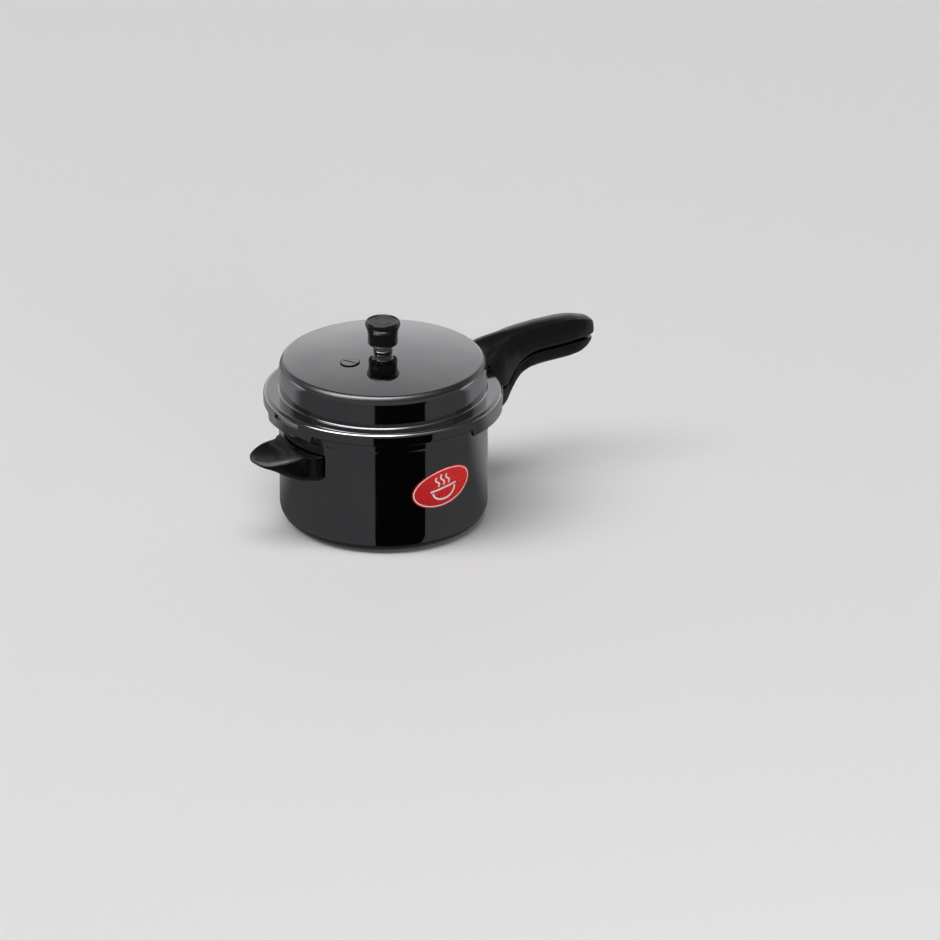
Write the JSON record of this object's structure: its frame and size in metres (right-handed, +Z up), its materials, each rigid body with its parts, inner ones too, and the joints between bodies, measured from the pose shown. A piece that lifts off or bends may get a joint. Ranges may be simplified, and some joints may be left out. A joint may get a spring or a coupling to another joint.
{
  "type": "stovetop pressure cooker",
  "caption": "Black hard-anodised stovetop pressure cooker with an outer bayonet lid, long handles in two halves, a helper handle, a vent weight, a fusible safety plug and a sealing ring.",
  "frame": {"origin": "on the pot's axis, at the flat face it stands on", "axes": "+Z up along the pot's axis, +X along the long handles, so the helper handle is on -X and the label faces -Y"},
  "size_m": [0.36, 0.206, 0.18],
  "materials": {
    "anodised_aluminium": "black hard anodised, polished",
    "bakelite": "black moulded bakelite, semi-gloss",
    "steel": "plain stainless steel",
    "chrome": "bright plated steel",
    "rivet_aluminium": "plain, hammered",
    "silicone": "pale grey silicone, matt",
    "fusible_alloy": "dull grey low-melting alloy",
    "label_red": "printed vinyl film, glossy"
  },
  "bodies": {
    "pot": {"pot_body": "anodised_aluminium", "body_handle_bracket": "steel", "body_handle_rivet_1": "rivet_aluminium", "body_handle_rivet_2": "rivet_aluminium", "body_handle": "bakelite", "body_handle_screw": "steel", "helper_handle_bracket": "steel", "helper_handle_rivet_1": "rivet_aluminium", "helper_handle_rivet_2": "rivet_aluminium", "helper_handle": "bakelite", "helper_handle_screw": "steel", "front_label": "label_red"},
    "seal": {"gasket": "silicone"},
    "lid": {"lid_shell": "anodised_aluminium", "vent_pipe": "steel", "vent_seal": "silicone", "vent_nut": "steel", "safety_valve": "steel", "fusible_core": "fusible_alloy", "safety_valve_seal": "silicone", "safety_valve_nut": "steel", "lid_handle_bracket": "steel", "lid_handle": "bakelite", "lid_handle_screw": "steel"},
    "clip": {"weight_clip": "steel"},
    "weight": {"weight_core": "chrome", "weight_needle": "steel", "weight_cap": "bakelite"}
  },
  "joints": [
    {"name": "lid_lift", "type": "slide", "parent": "pot", "child": "seal", "axis": [0, 0, 1], "range_m": [0, 0.15]},
    {"name": "lid_turn", "type": "hinge", "parent": "seal", "child": "lid", "pos_m": [0, 0, 0.1113], "axis": [0, 0, 1], "range_deg": [-31.5, 0]},
    {"name": "weight_lift", "type": "slide", "parent": "lid", "child": "clip", "axis": [0, 0, 1], "range_m": [0, 0.03]},
    {"name": "weight_spin", "type": "hinge", "parent": "clip", "child": "weight", "pos_m": [0, 0, 0.1592], "axis": [0, 0, 1], "continuous": true}
  ]
}
